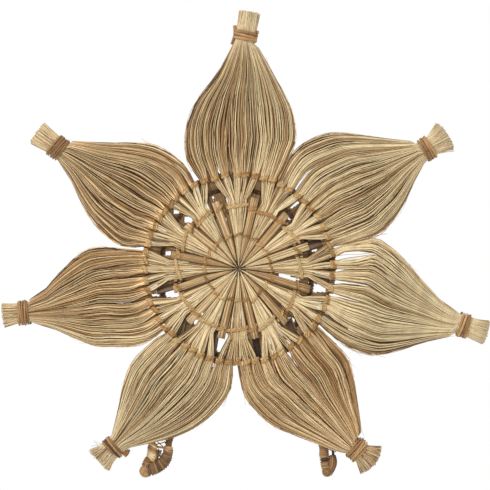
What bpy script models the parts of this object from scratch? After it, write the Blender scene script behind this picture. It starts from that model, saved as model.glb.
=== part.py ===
# Straw star ornament: a flat straw web with seven bulb-shaped petals of gathered straw,
# tied at their necks, carried behind by a wrapped hoop, a cane across it and two looped feet.
# Metres, +Z up. The front faces -Y. The origin is on the flat back of the hoop at 12 o'clock.

import math

import bmesh
import bpy
from mathutils import Matrix, Vector

MM = 0.001

# Layers, counted from the plane of the hoop's flat back towards the viewer
HOOP_DEPTH = 7.0 * MM
CANE_FRONT = 9.9 * MM
CANE_THICK = 2.6 * MM
CANE_CROWN = 0.8
WEB_BACK = 10.2 * MM
WEB_FRONT = 14.7 * MM
TWINE_BACK = 15.0 * MM
TWINE_FRONT = 16.4 * MM
FOOT_DEPTH = 4.9 * MM
WALL_GAP = 0.4 * MM

# The hoop is an upright oval, a little down and to the left of the hub
HOOP_HALF_WIDE = 78.3 * MM
HOOP_HALF_TALL = 87.0 * MM
HOOP_WIDTH = 7.0 * MM
HOOP_FLAT = 5.0 * MM
HOOP_SHIFT = Vector((-2.8 * MM, -4.7 * MM))
HOOP_STEPS = 40
HOOP_TOP_SHARE = math.sqrt(1 - (HOOP_SHIFT.x / HOOP_HALF_WIDE) ** 2)
HUB_DROP = HOOP_SHIFT.y + HOOP_HALF_TALL * HOOP_TOP_SHARE

# The web: angles in degrees, clockwise from 12 o'clock as the front is seen
SPOKE_ANGLES = [-1, 27, 57, 89, 121.5, 152.5, 181, 209.5, 237, 269, 297, 325]
FINGERS = 5
INNER_RING = 34.0 * MM
MIDDLE_RING = 64.0 * MM
OUTER_RING = 97.0 * MM
SPOKE_START = 4.6 * MM
SPOKE_TIP = 0.45 * MM
SPOKE_INNER_HALF = 3.9 * MM
SPOKE_MIDDLE_HALF = 10.0 * MM
FINGER_ROOT = 71.0 * MM
FINGER_END = 99.6 * MM
FINGER_HALF = 3.6 * MM
FINGER_ROOT_HALF = 1.85 * MM
FINGER_ROOT_PITCH = 3.92 * MM
STUB_START = 9.5 * MM
STUB_TIP = 0.8 * MM
STUB_INNER_HALF = 3.6 * MM
STUB_END_HALF = 4.2 * MM
TWINE_WIDTH = 2.4 * MM
TWINE_RISE = 2.4 * MM
TWINE_SWAY = 0.4 * MM
HUB_RADIUS = 3.0 * MM
HUB_TOP_RADIUS = 1.8 * MM

# Each stub's reach in mm, and the degrees that it leans off the middle of its gap
STUB_ENDS = [75, 75, 76, 77, 74.5, 74.5, 74.5, 76, 71, 71, 71, 73]
STUB_LEANS = [0, -1, -1, 1, 1.2, 0, -1, 0, -1, -1, -1.2, -1.2]

# The petals: the neck, the cut end's half depth, and how far the belly swells
PETAL_START = 100.6 * MM
NECK_RADIUS = 10.8 * MM
TUFT_DEPTH = 11.5 * MM
NECK_CENTRE = 16.5 * MM
EDGE_CENTRE = 12.4 * MM
BELLY_FRONT = 7.5 * MM
BASE_FRONT = 2.3 * MM
BELLY_BACK = 2.1 * MM
BELLY_BY = 0.35
NECK_FROM = 0.6
BODY_STATIONS = 12
SECTION_POINTS = 16
TIE_HALF = 7.0 * MM
TIE_GAP = 0.4 * MM
TIE_HEIGHT = 2.4 * MM
TIE_GROOVE = 1.5 * MM
TIE_TURNS = 3
TIE_STEPS = 16

# Each petal's two edges, low at the smaller angle, run from the web to the neck as
# (radius in mm, angle) about the hub. base holds the angles where they leave the web,
# tie is the middle of the binding, tip the middle of the cut end and flare its half width in mm.
PETALS = {
    "top": {
        "low": [(127, 334.8), (154, 339.7), (178, 346.1), (200, 353.3), (227, 358)],
        "high": [(130, 24), (147, 23.4), (170, 18.8), (190, 13.4), (210, 8.8), (228, 5.2)],
        "base": (333.6, 23.8), "tie": (239.5, 1.7), "tip": (264, 2.4), "flare": 9.8},
    "upper_right": {
        "low": [(133, 25.4), (154, 29.8), (169, 34.6), (182, 40.6), (208, 50.3), (221, 53.6)],
        "high": [(144, 76.6), (163, 73.4), (179, 69.7), (200, 64), (219, 60.5)],
        "base": (25, 76.6), "tie": (229.5, 57.5), "tip": (253, 57.5), "flare": 15.2},
    "right": {
        "low": [(112, 77.5), (128, 77.6), (148, 78.4), (171, 87.1), (180, 90.8), (197, 95.7),
                (215, 99.7), (231, 101.4)],
        "high": [(120, 125.8), (138, 125.7), (154, 124.2), (171, 121), (206, 111.5), (227, 108)],
        "base": (78.2, 125.2), "tie": (239, 104.2), "tip": (263.5, 104.5), "flare": 11.5},
    "lower_right": {
        "low": [(121, 127.6), (144, 129.4), (163, 133.9), (183, 138.3), (200, 141.2), (210, 143.2)],
        "high": [(128, 177.9), (145, 173.7), (161, 168.8), (174, 163.8), (207, 153.4), (216, 151)],
        "base": (126.4, 180.2), "tie": (222, 146.8), "tip": (240, 145.3), "flare": 16},
    "lower_left": {
        "low": [(126, 184), (145, 188.5), (165, 194.1), (186, 201.3), (205, 208.1), (215, 211.2)],
        "high": [(118, 229.8), (148, 228.2), (169, 224.4), (191, 220.5), (213, 217.6)],
        "base": (181.6, 229.7), "tie": (224.5, 215), "tip": (244.5, 216), "flare": 13.6},
    "left": {
        "low": [(118, 231.2), (135, 233.9), (153, 238.7), (171, 243), (202, 252.4), (216, 254.8)],
        "high": [(116, 279.8), (142, 278.9), (161, 276), (187, 267.9), (201, 263.8), (217, 261.7)],
        "base": (230.9, 280.4), "tie": (226, 258.4), "tip": (247, 258.8), "flare": 11.6},
    "upper_left": {
        "low": [(123, 281.3), (141, 284.3), (159, 288.3), (177, 293.3), (197, 298.2), (212, 300.3)],
        "high": [(121, 332.2), (146, 327.7), (164, 321.9), (186, 314), (215, 307.7)],
        "base": (281.6, 332.6), "tie": (223.5, 303.8), "tip": (250, 304), "flare": 11.8},
}

# Flat canes in front of the hoop: x, z and half width of both ends, in mm about the hub.
# The limbs carry the feet's tubes on over the hoop.
CANES = {
    "back_cane": ((85.7, 27.4, 5.9), (-84.8, -23.4, 4.2)),
    "limb_left_outer": ((-55, -51.7, 4.4), (-62.4, -77.6, 4.4)),
    "limb_left_inner": ((-22.6, -63, 4), (-28.6, -97, 4)),
    "limb_right_inner": ((17, -66, 4.8), (21.4, -97, 4.4)),
    "limb_right_outer": ((51, -52, 4.4), (63.2, -80.4, 4.2)),
}

# The looped feet: stops of the centre line as (x, z) in mm about the hub, then the tube's radius
FEET = {
    "foot_left": (
        [(-63, -79.4), (-75, -121), (-89.5, -178), (-91.5, -193), (-96.5, -204.5), (-93, -209.5),
         (-84, -206.5), (-77, -201), (-73, -190), (-70.5, -174), (-50, -138), (-34, -113.5),
         (-29.2, -99)],
        [4.6, 4.6, 4.8, 5.2, 5.6, 5.6, 5.2, 4.8, 4.3, 4, 4, 4, 4]),
    "foot_right": (
        [(21.9, -99), (28, -115), (50, -136), (83, -176), (87, -194), (89.5, -206), (92, -210),
         (96, -205.5), (97.5, -198), (97, -186), (92, -168), (73, -122), (64, -82.4)],
        [4.4, 4.4, 4.4, 4.4, 4.6, 4.6, 4.4, 4, 3.8, 3.2, 3.4, 4, 4]),
}
FOOT_POINTS = 30


def clear_scene():
    for thing in list(bpy.data.objects):
        bpy.data.objects.remove(thing, do_unlink=True)


def make_material(name, colour, roughness):
    material = bpy.data.materials.new(name)
    material.use_nodes = True
    shader = material.node_tree.nodes["Principled BSDF"]
    shader.inputs["Base Color"].default_value = (*colour, 1)
    shader.inputs["Roughness"].default_value = roughness
    shader.inputs["Metallic"].default_value = 0
    return material


def add_mesh(name, bm, material):
    bmesh.ops.recalc_face_normals(bm, faces=bm.faces)
    mesh = bpy.data.meshes.new(name)
    bm.to_mesh(mesh)
    bm.free()
    mesh.materials.append(material)
    thing = bpy.data.objects.new(name, mesh)
    bpy.context.collection.objects.link(thing)
    return thing


def polar(radius, degrees):
    turn = math.radians(degrees)
    return Vector((radius * math.sin(turn), radius * math.cos(turn)))


def place(flat, depth):
    return Vector((flat.x, -depth, flat.y - HUB_DROP))


def along_curve(stops, share):
    # A Catmull-Rom curve through the stops, share running from 0 to 1
    scaled = min(max(share, 0), 1) * (len(stops) - 1)
    first = min(int(scaled), len(stops) - 2)
    t = scaled - first
    b, c = stops[first], stops[first + 1]
    a = stops[first - 1] if first > 0 else b * 2 - c
    d = stops[first + 2] if first + 2 < len(stops) else c * 2 - b
    return (b * 2 + (c - a) * t + (a * 2 - b * 5 + c * 4 - d) * t ** 2
            + (b * 3 - a - c * 3 + d) * t ** 3) / 2


def smooth_step(share):
    share = min(max(share, 0), 1)
    return share * share * (3 - 2 * share)


def cap_section(bm, loop):
    # The cap follows a bent end: each front corner joins the back corner behind it
    count = len(loop)
    for i in range(count // 2):
        corners = [loop[i], loop[i + 1], loop[count - i - 1], loop[-i]]
        bm.faces.new(list(dict.fromkeys(corners)))


def bridge_sections(bm, sections, closed=False):
    loops = [[bm.verts.new(point) for point in section] for section in sections]
    pairs = list(zip(loops, loops[1:]))
    if closed:
        pairs.append((loops[-1], loops[0]))
    for one, two in pairs:
        for i in range(len(one)):
            after = (i + 1) % len(one)
            bm.faces.new((one[i], one[after], two[after], two[i]))
    if not closed:
        cap_section(bm, loops[0])
        cap_section(bm, loops[-1])


def add_slab(name, outline, back, front, material):
    bm = bmesh.new()
    base = bm.faces.new([bm.verts.new(place(flat, back)) for flat in outline])
    grown = bmesh.ops.extrude_face_region(bm, geom=[base])
    moved = [item for item in grown["geom"] if isinstance(item, bmesh.types.BMVert)]
    bmesh.ops.translate(bm, vec=(0, back - front, 0), verts=moved)
    return add_mesh(name, bm, material)


def add_turned(name, profile, centre, axis, steps, material):
    # profile holds (distance along the axis, distance from it)
    side = axis.orthogonal().normalized()
    bm = bmesh.new()
    verts = [bm.verts.new(centre + axis * along + side * out) for along, out in profile]
    edges = [bm.edges.new((verts[i], verts[(i + 1) % len(verts)])) for i in range(len(verts))]
    bmesh.ops.spin(bm, geom=verts + edges, cent=centre, axis=axis, angle=math.tau,
                   steps=steps, use_merge=True, use_duplicate=False)
    return add_mesh(name, bm, material)


def neighbour_gaps(index):
    angle = SPOKE_ANGLES[index]
    before = (angle - SPOKE_ANGLES[index - 1]) % 360
    after = (SPOKE_ANGLES[(index + 1) % len(SPOKE_ANGLES)] - angle) % 360
    return before, after


def finger_angle(index, finger):
    # Fingers are numbered -2 to 2 and share the room up to the neighbouring spokes
    before, after = neighbour_gaps(index)
    return SPOKE_ANGLES[index] + finger * (before if finger < 0 else after) / FINGERS


def across(radius, degrees, shift):
    # The point at this polar place, moved sideways by shift, clockwise
    turn = math.radians(degrees)
    return polar(radius, degrees) + Vector((math.cos(turn), -math.sin(turn))) * shift


def add_spoke(index, material):
    angle = SPOKE_ANGLES[index]
    outline = [
        across(SPOKE_START, angle, -SPOKE_TIP),
        across(INNER_RING, angle, -SPOKE_INNER_HALF),
        across(MIDDLE_RING, angle, -SPOKE_MIDDLE_HALF)]
    reach = FINGERS // 2
    for finger in range(-reach, reach + 1):
        root = across(FINGER_ROOT, angle, finger * FINGER_ROOT_PITCH)
        sideways = across(0, angle, FINGER_ROOT_HALF)
        tip = finger_angle(index, finger)
        outline += [
            root - sideways,
            across(FINGER_END, tip, -FINGER_HALF),
            across(FINGER_END, tip, FINGER_HALF),
            root + sideways]
    outline += [
        across(MIDDLE_RING, angle, SPOKE_MIDDLE_HALF),
        across(INNER_RING, angle, SPOKE_INNER_HALF),
        across(SPOKE_START, angle, SPOKE_TIP)]
    return add_slab(f"spoke_{index + 1:02d}", outline, WEB_BACK, WEB_FRONT, material)


def add_stub(index, material):
    angle = SPOKE_ANGLES[index] + neighbour_gaps(index)[1] / 2
    leaning = angle + STUB_LEANS[index]
    end = STUB_ENDS[index] * MM
    outline = [
        across(STUB_START, angle, -STUB_TIP),
        across(INNER_RING, angle, -STUB_INNER_HALF),
        across(end, leaning, -STUB_END_HALF),
        across(end, leaning, STUB_END_HALF),
        across(INNER_RING, angle, STUB_INNER_HALF),
        across(STUB_START, angle, STUB_TIP)]
    return add_slab(f"stub_{index + 1:02d}", outline, WEB_BACK, WEB_FRONT, material)


def add_twine(name, radius, places, material):
    # places holds the angle of each corner and its rise along the radius
    sections = []
    for degrees, rise in places:
        inside = polar(radius + rise - TWINE_WIDTH / 2, degrees)
        outside = polar(radius + rise + TWINE_WIDTH / 2, degrees)
        sections.append([
            place(inside, TWINE_BACK), place(outside, TWINE_BACK),
            place(outside, TWINE_FRONT), place(inside, TWINE_FRONT)])
    bm = bmesh.new()
    bridge_sections(bm, sections, closed=True)
    return add_mesh(name, bm, material)


def crossing_places(radius, half):
    # The twine rises clockwise across each spoke and drops back over each stub
    lean = math.degrees(half / radius)
    places = []
    for index, angle in enumerate(SPOKE_ANGLES):
        middle = angle + neighbour_gaps(index)[1] / 2
        places += [(angle - lean, -TWINE_RISE), (angle + lean, TWINE_RISE), (middle, 0)]
    return places


def finger_places():
    reach = FINGERS // 2
    return [(finger_angle(index, finger), TWINE_SWAY * (-1) ** finger)
            for index in range(len(SPOKE_ANGLES)) for finger in range(-reach, reach + 1)]


def petal_point(petal, across_share, share):
    # A point of the petal's plan: across_share 0 to 1 from edge to edge, share 0 to 1 outwards
    low, high = petal["base"]
    edges = []
    for side, angle in (("low", low), ("high", high)):
        stops = [polar(PETAL_START, angle)]
        stops += [polar(radius * MM, degrees) for radius, degrees in petal[side]]
        edges.append(along_curve(stops, share))
    straight = edges[0].lerp(edges[1], across_share)
    chord = polar(PETAL_START, low).lerp(polar(PETAL_START, high), across_share)
    arc = polar(PETAL_START, low + (high - low) % 360 * across_share)
    return straight + (arc - chord) * (1 - share) ** 3


def section_points(point_at, centre, front, back):
    # point_at gives the plan's point at a share across, and the two halves bulge apart
    points = []
    for i in range(SECTION_POINTS):
        turn = math.tau * i / SECTION_POINTS
        swell = (front if turn < math.pi else back) * math.sin(turn)
        points.append(place(point_at((1 - math.cos(turn)) / 2), centre + swell))
    return points


def body_section(petal, share):
    grown = smooth_step(share / BELLY_BY)
    necking = smooth_step((share - NECK_FROM) / (1 - NECK_FROM))
    centre = EDGE_CENTRE + (NECK_CENTRE - EDGE_CENTRE) * necking
    front = BASE_FRONT + (BELLY_FRONT - BASE_FRONT) * grown
    front += (NECK_RADIUS - front) * necking
    back = BELLY_BACK + (NECK_RADIUS - BELLY_BACK) * necking
    return section_points(lambda side: petal_point(petal, side, share), centre, front, back)


def neck_section(flat, aside, half, depth):
    edge = aside * half
    return section_points(lambda side: flat + edge * (2 * side - 1), NECK_CENTRE, depth, depth)


def neck_frame(petal):
    tie = polar(petal["tie"][0] * MM, petal["tie"][1])
    tip = polar(petal["tip"][0] * MM, petal["tip"][1])
    along = (tip - tie).normalized()
    aside = Vector((along.y, -along.x))
    return tie, tip, along, aside


def add_petal(name, petal, material):
    tie, tip, along, aside = neck_frame(petal)
    last = BODY_STATIONS - 1
    under = along * (TIE_HALF + TIE_GAP)
    sections = [body_section(petal, i / last) for i in range(BODY_STATIONS)]
    sections.append(neck_section(tie - under, aside, NECK_RADIUS, NECK_RADIUS))
    sections.append(neck_section(tie + under, aside, NECK_RADIUS, NECK_RADIUS))
    sections.append(neck_section(tip, aside, petal["flare"] * MM, TUFT_DEPTH))
    bm = bmesh.new()
    bridge_sections(bm, sections)
    return add_mesh(f"petal_{name}", bm, material)


def add_tie(name, petal, material):
    tie, _, along, _ = neck_frame(petal)
    inside = NECK_RADIUS + TIE_GAP
    profile = [(-TIE_HALF, inside)]
    turns = TIE_TURNS * 2
    for i in range(turns + 1):
        height = TIE_HEIGHT if i % 2 else TIE_GROOVE
        profile.append((-TIE_HALF + 2 * TIE_HALF * i / turns, inside + height))
    profile.append((TIE_HALF, inside))
    axis = Vector((along.x, 0, along.y))
    return add_turned(f"tie_{name}", profile, place(tie, NECK_CENTRE), axis, TIE_STEPS, material)


def add_hoop(material):
    # The section is flat behind, towards +Y, and rounded in front. A round ring is drawn tall.
    half = HOOP_WIDTH / 2
    section = [
        (0, -HOOP_FLAT / 2), (0, HOOP_FLAT / 2), (-0.3, half), (-0.75, 0.86 * half),
        (-1, 0.35 * half), (-1, -0.35 * half), (-0.75, -0.86 * half), (-0.3, -half)]
    profile = [(depth * HOOP_DEPTH, HOOP_HALF_WIDE + out) for depth, out in section]
    centre = place(HOOP_SHIFT, 0)
    thing = add_turned("hoop", profile, centre, Vector((0, 1, 0)), HOOP_STEPS, material)
    for vert in thing.data.vertices:
        vert.co.z = centre.z + (vert.co.z - centre.z) * HOOP_HALF_TALL / HOOP_HALF_WIDE
    return thing


def add_cane(name, ends, material):
    flats = [Vector((x * MM, z * MM)) for x, z, _ in ends]
    along = (flats[1] - flats[0]).normalized()
    aside = Vector((along.y, -along.x))
    back = CANE_FRONT - CANE_THICK
    sections = []
    for flat, (_, _, half) in zip(flats, ends):
        wide = aside * half * MM
        narrow = wide * CANE_CROWN
        sections.append([
            place(flat - wide, back), place(flat + wide, back),
            place(flat + narrow, CANE_FRONT), place(flat - narrow, CANE_FRONT)])
    bm = bmesh.new()
    bridge_sections(bm, sections)
    return add_mesh(name, bm, material)


def add_foot(name, route, radii, material):
    curve = bpy.data.curves.new(name, "CURVE")
    curve.dimensions = "3D"
    curve.bevel_depth = MM
    curve.bevel_resolution = 2
    curve.use_fill_caps = True
    stops = [Vector((x * MM, z * MM, radius)) for (x, z), radius in zip(route, radii)]
    spline = curve.splines.new("POLY")
    spline.points.add(FOOT_POINTS - 1)
    for i, point in enumerate(spline.points):
        stop = along_curve(stops, i / (FOOT_POINTS - 1))
        depth = max(FOOT_DEPTH, stop.z * MM + WALL_GAP)
        point.co = (*place(stop.xy, depth), 1)
        point.radius = stop.z
    curve.materials.append(material)
    thing = bpy.data.objects.new(name, curve)
    bpy.context.collection.objects.link(thing)
    return thing


def add_hub(material):
    bm = bmesh.new()
    bmesh.ops.create_cone(bm, cap_ends=True, segments=10, radius1=HUB_RADIUS,
                          radius2=HUB_TOP_RADIUS, depth=TWINE_BACK - WEB_BACK)
    turn = Matrix.Rotation(math.radians(90), 4, "X")
    middle = place(Vector((0, 0)), (TWINE_BACK + WEB_BACK) / 2)
    bmesh.ops.transform(bm, matrix=Matrix.Translation(middle) @ turn, verts=bm.verts)
    return add_mesh("hub_knot", bm, material)


def build():
    clear_scene()
    straw = make_material("straw", (0.66, 0.52, 0.31), 0.6)
    pale_straw = make_material("pale_straw", (0.74, 0.62, 0.4), 0.6)
    brown_straw = make_material("brown_straw", (0.5, 0.33, 0.17), 0.65)
    twine = make_material("twine", (0.52, 0.34, 0.16), 0.75)
    peel = make_material("rattan_peel", (0.5, 0.28, 0.11), 0.5)
    bark = make_material("bark_wrap", (0.3, 0.15, 0.07), 0.8)
    cane = make_material("back_cane", (0.22, 0.14, 0.08), 0.75)

    for name, petal in PETALS.items():
        add_petal(name, petal, straw)
        add_tie(name, petal, peel)
    for index in range(len(SPOKE_ANGLES)):
        add_spoke(index, pale_straw)
        add_stub(index, brown_straw)
    add_twine("twine_inner", INNER_RING, crossing_places(INNER_RING, SPOKE_INNER_HALF), twine)
    add_twine("twine_middle", MIDDLE_RING, crossing_places(MIDDLE_RING, SPOKE_MIDDLE_HALF), twine)
    add_twine("twine_outer", OUTER_RING, finger_places(), twine)
    add_hub(twine)
    add_hoop(bark)
    for name, ends in CANES.items():
        add_cane(name, ends, cane)
    for name, (route, radii) in FEET.items():
        add_foot(name, route, radii, bark)


build()
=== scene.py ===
from math import cos, degrees, pi, radians, sin, sqrt, tau
from random import Random

import bmesh
import bpy
import numpy as np
from mathutils import Matrix, Vector


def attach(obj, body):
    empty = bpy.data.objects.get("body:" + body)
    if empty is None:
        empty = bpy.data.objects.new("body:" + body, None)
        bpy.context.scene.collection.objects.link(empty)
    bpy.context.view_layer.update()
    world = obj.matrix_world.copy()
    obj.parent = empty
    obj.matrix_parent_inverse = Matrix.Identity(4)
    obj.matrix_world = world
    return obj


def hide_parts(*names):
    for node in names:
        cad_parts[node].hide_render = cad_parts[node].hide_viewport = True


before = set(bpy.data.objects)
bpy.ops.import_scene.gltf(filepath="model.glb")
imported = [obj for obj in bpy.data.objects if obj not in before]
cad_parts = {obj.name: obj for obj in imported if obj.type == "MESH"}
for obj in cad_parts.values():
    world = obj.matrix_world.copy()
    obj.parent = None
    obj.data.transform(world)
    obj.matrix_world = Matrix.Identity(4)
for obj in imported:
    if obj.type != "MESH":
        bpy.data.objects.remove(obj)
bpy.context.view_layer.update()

mm = 0.001
rowCount = 64  # rows of the UV map, from dark to pale
roomLong = 0.18  # metres of straw that the map's width holds


class Values(dict):
    # a dictionary whose values are read as values.name
    __getattr__ = dict.__getitem__


# the web's angles in degrees clockwise from 12 o'clock, and its sizes in mm
web = Values(
    spokeAngles=[-1, 27, 57, 89, 121.5, 152.5, 181, 209.5, 237, 269, 297, 325],
    stubEnds=[75, 75, 76, 77, 74.5, 74.5, 74.5, 76, 71, 71, 71, 73],
    stubLeans=[0, -1, -1, 1, 1.2, 0, -1, 0, -1, -1, -1.2, -1.2],
    rings=Values(inner=34, middle=64, outer=97))
webDepth, webHalf = 12.45, 1.9  # the middle in mm in front of the wall, as all depths, and half the thickness
petalStart = 100.6

# edges from web to neck as (mm from the hub, degrees clockwise), as the solids have them
petals = Values(
    top=Values(
        low=[(127, 334.8), (154, 339.7), (178, 346.1), (200, 353.3), (227, 358)],
        high=[(130, 24), (147, 23.4), (170, 18.8), (190, 13.4), (210, 8.8), (228, 5.2)],
        base=(333.6, 23.8), tie=(239.5, 1.7), tip=(264, 2.4), flare=9.8),
    upper_right=Values(
        low=[(133, 25.4), (154, 29.8), (169, 34.6), (182, 40.6), (208, 50.3), (221, 53.6)],
        high=[(144, 76.6), (163, 73.4), (179, 69.7), (200, 64), (219, 60.5)],
        base=(25, 76.6), tie=(229.5, 57.5), tip=(253, 57.5), flare=15.2),
    right=Values(
        low=[(112, 77.5), (128, 77.6), (148, 78.4), (171, 87.1), (180, 90.8), (197, 95.7),
            (215, 99.7), (231, 101.4)],
        high=[(120, 125.8), (138, 125.7), (154, 124.2), (171, 121), (206, 111.5), (227, 108)],
        base=(78.2, 125.2), tie=(239, 104.2), tip=(263.5, 104.5), flare=11.5),
    lower_right=Values(
        low=[(121, 127.6), (144, 129.4), (163, 133.9), (183, 138.3), (200, 141.2), (210, 143.2)],
        high=[(128, 177.9), (145, 173.7), (161, 168.8), (174, 163.8), (207, 153.4), (216, 151)],
        base=(126.4, 180.2), tie=(222, 146.8), tip=(240, 145.3), flare=16),
    lower_left=Values(
        low=[(126, 184), (145, 188.5), (165, 194.1), (186, 201.3), (205, 208.1), (215, 211.2)],
        high=[(118, 229.8), (148, 228.2), (169, 224.4), (191, 220.5), (213, 217.6)],
        base=(181.6, 229.7), tie=(224.5, 215), tip=(244.5, 216), flare=13.6),
    left=Values(
        low=[(118, 231.2), (135, 233.9), (153, 238.7), (171, 243), (202, 252.4), (216, 254.8)],
        high=[(116, 279.8), (142, 278.9), (161, 276), (187, 267.9), (201, 263.8), (217, 261.7)],
        base=(230.9, 280.4), tie=(226, 258.4), tip=(247, 258.8), flare=11.6),
    upper_left=Values(
        low=[(123, 281.3), (141, 284.3), (159, 288.3), (177, 293.3), (197, 298.2), (212, 300.3)],
        high=[(121, 332.2), (146, 327.7), (164, 321.9), (186, 314), (215, 307.7)],
        base=(281.6, 332.6), tie=(223.5, 303.8), tip=(250, 304), flare=11.8),
)

# the oval hoop behind the web, in mm about the hub
hoopValues = Values(
    shift=(-2.8, -4.7), halfWide=78.3, halfTall=87,
    core=2.8, wraps=180, wrapRadius=2, wrapThick=1.6, depth=3.75)
hubDrop = (hoopValues.shift[1] + hoopValues.halfTall
           * sqrt(1 - (hoopValues.shift[0] / hoopValues.halfWide) ** 2)) * mm

# canes in front of the hoop as (x, z, half width) of both ends, in mm about the hub
canes = Values(
    back_cane=((85.7, 27.4, 5.6), (-84.8, -23.4, 4)),
    limb_left_outer=((-55, -51.7, 4.2), (-62.4, -77.6, 4.2)),
    limb_left_inner=((-22.6, -63, 3.8), (-28.6, -97, 3.8)),
    limb_right_inner=((17, -66, 4.6), (21.4, -97, 4.2)),
    limb_right_outer=((51, -52, 4.2), (63.2, -80.4, 4)),
)


def polar(radius, angle):
    turn = radians(angle)
    return Vector((radius * sin(turn), radius * cos(turn)))


def across(radius, angle, shift):
    # the polar place moved sideways, clockwise
    turn = radians(angle)
    return polar(radius, angle) + Vector((cos(turn), -sin(turn))) * shift


def place(flat, depth):
    # from mm about the hub and mm in front of the wall to the frame
    return Vector((flat[0] * mm, -depth * mm, flat[1] * mm - hubDrop))


def clamp(value, low=0, high=1):
    return min(max(value, low), high)


def smooth(share):
    share = clamp(share)
    return share * share * (3 - 2 * share)


def mix(one, two, share):
    return one + (two - one) * share


def alongCurve(stops, share):
    stops = [stops[0] * 2 - stops[1], *stops, stops[-1] * 2 - stops[-2]]
    scaled = clamp(share) * (len(stops) - 3)
    first = min(int(scaled), len(stops) - 4)
    t, (a, b, c, d) = scaled - first, stops[first:first + 4]
    return (b * 2 + (c - a) * t + (a * 2 - b * 5 + c * 4 - d) * t ** 2
            + (b * 3 - a - c * 3 + d) * t ** 3) / 2


def steps(table, at):
    # straight lines between the table's (place, value) pairs
    for (x0, y0), (x1, y1) in zip(table, table[1:]):
        if at <= x1:
            return mix(y0, y1, max(0, (at - x0) / (x1 - x0)))
    return table[-1][1]


def evenLine(stops, count=60):
    # the curve through the stops as a table of (share of its length, point)
    line = [alongCurve(stops, i / count) for i in range(count + 1)]
    reach = [0]
    for one, two in zip(line, line[1:]):
        reach.append(reach[-1] + (two - one).length)
    return [(far / reach[-1], point) for far, point in zip(reach, line)]


def gapAfter(index):
    # degrees from one spoke to the next
    angles = web.spokeAngles
    return (angles[(index + 1) % len(angles)] - angles[index]) % 360


def stubAngle(index):
    return web.spokeAngles[index] + gapAfter(index) / 2


# how far each finger strays from its even place round the ring, in degrees
strayRng = Random(7)
strays = {(i, f): strayRng.uniform(-0.7, 0.7) for i in range(12) for f in range(-2, 3)}
strays.update({(3, -2): -0.5, (3, -1): -2.0, (3, 0): -1.5, (3, 1): -1.2, (2, 2): 0, (10, -2): 0, (6, 0): 0})


def fingerAngle(index, finger):
    gap = gapAfter(index - 1 if finger < 0 else index)
    return web.spokeAngles[index] + finger * gap / 5 + strays[index, finger]


fingers = [fingerAngle(i, f) % 360 for i in range(12) for f in range(-2, 3)]


class Strand:
    # one straw: its line, its radius in mm, its shade from 0 dark to 1 pale, and its start on the map
    def __init__(self, points, radii, shade, start=0, closed=False):
        if not isinstance(radii, list):
            radii = [radii] * len(points)
        self.points, self.radii, self.closed = points, [radius * mm for radius in radii], closed
        self.row = clamp(int(shade * rowCount), 0, rowCount - 1)
        self.start = start


def addObject(name, data):
    thing = bpy.data.objects.new(name, data)
    bpy.context.collection.objects.link(thing)
    return thing


# on the map a straw ends at strawEnd, and the caps of the cut ends lie past it
mapPlaces = Values(strawEnd=0.96, capStart=0.972, capMiddle=0.985, capRadius=0.008)


def strandMesh(name, strands, smoothness, profile=None):
    # strands become one bevelled curve, and its own mapping is laid into the rows of shades
    curve = bpy.data.curves.new(name, "CURVE")
    curve.dimensions = "3D"
    curve.use_fill_caps = True
    if profile:
        curve.twist_mode = "Z_UP"
        curve.bevel_mode = "OBJECT"
        curve.bevel_object = profile
        sides = len(profile.data.splines[0].points)
    else:
        curve.bevel_depth = 1
        curve.bevel_resolution = smoothness
        sides = 4 + 2 * smoothness
    for strand in strands:
        spline = curve.splines.new("POLY")
        spline.points.add(len(strand.points) - 1)
        spline.use_cyclic_u = strand.closed
        spline.points.foreach_set("co", [v for p in strand.points for v in (*p, 1)])
        spline.points.foreach_set("radius", strand.radii)
    holder = addObject(name, curve)
    bpy.context.view_layer.update()
    mesh = bpy.data.meshes.new_from_object(holder.evaluated_get(bpy.context.evaluated_depsgraph_get()))
    bpy.data.objects.remove(holder)
    bpy.data.curves.remove(curve)
    layer = mesh.uv_layers[0]
    layer.name = "OFBake"
    uv = np.empty((len(mesh.loops), 2), np.float32)
    layer.data.foreach_get("uv", uv.ravel())
    at, capLoops = 0, 2 * (sides - 2) * 3
    for strand in strands:
        if not strand.closed:
            cap = uv[at:at + capLoops]
            turn = tau * np.round(cap[:, 0] * (sides - 1)) / sides
            cap[:, 0] = mapPlaces.capMiddle + mapPlaces.capRadius * np.cos(turn)
            cap[:, 1] = (strand.row + 0.5 + 0.3 * np.sin(turn)) / rowCount
            at += capLoops
    for strand in strands:
        length = sum((b - a).length for a, b in zip(strand.points, strand.points[1:]))
        span = min(length / roomLong, mapPlaces.strawEnd - strand.start)
        side = uv[at:at + (len(strand.points) - (not strand.closed)) * sides * 4]
        side[:, 0] = strand.start + span * side[:, 0]
        side[:, 1] = (strand.row + 0.1 + 0.8 * side[:, 1]) / rowCount
        at += len(side)
    layer.data.foreach_set("uv", uv.ravel())
    bm = bmesh.new()
    bm.from_mesh(mesh)
    bmesh.ops.remove_doubles(bm, verts=bm.verts, dist=1e-7)
    for face in bm.faces:
        face.smooth = True
    bm.to_mesh(mesh)
    bm.free()
    return mesh


def addPiece(name, mesh, material, slot, *nodes):
    mesh.materials.append(material)
    piece = addObject(name, mesh)
    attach(piece, "root")
    if nodes:
        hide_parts(*nodes)


def addStrands(name, strands, material, slot, *nodes, smoothness=1):
    addPiece(name, strandMesh(name, strands, smoothness), material, slot, *nodes)


def buildAll(build, table, seed):
    for number, (name, values) in enumerate(table.items()):
        build(name, values, Random(seed + number))


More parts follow.
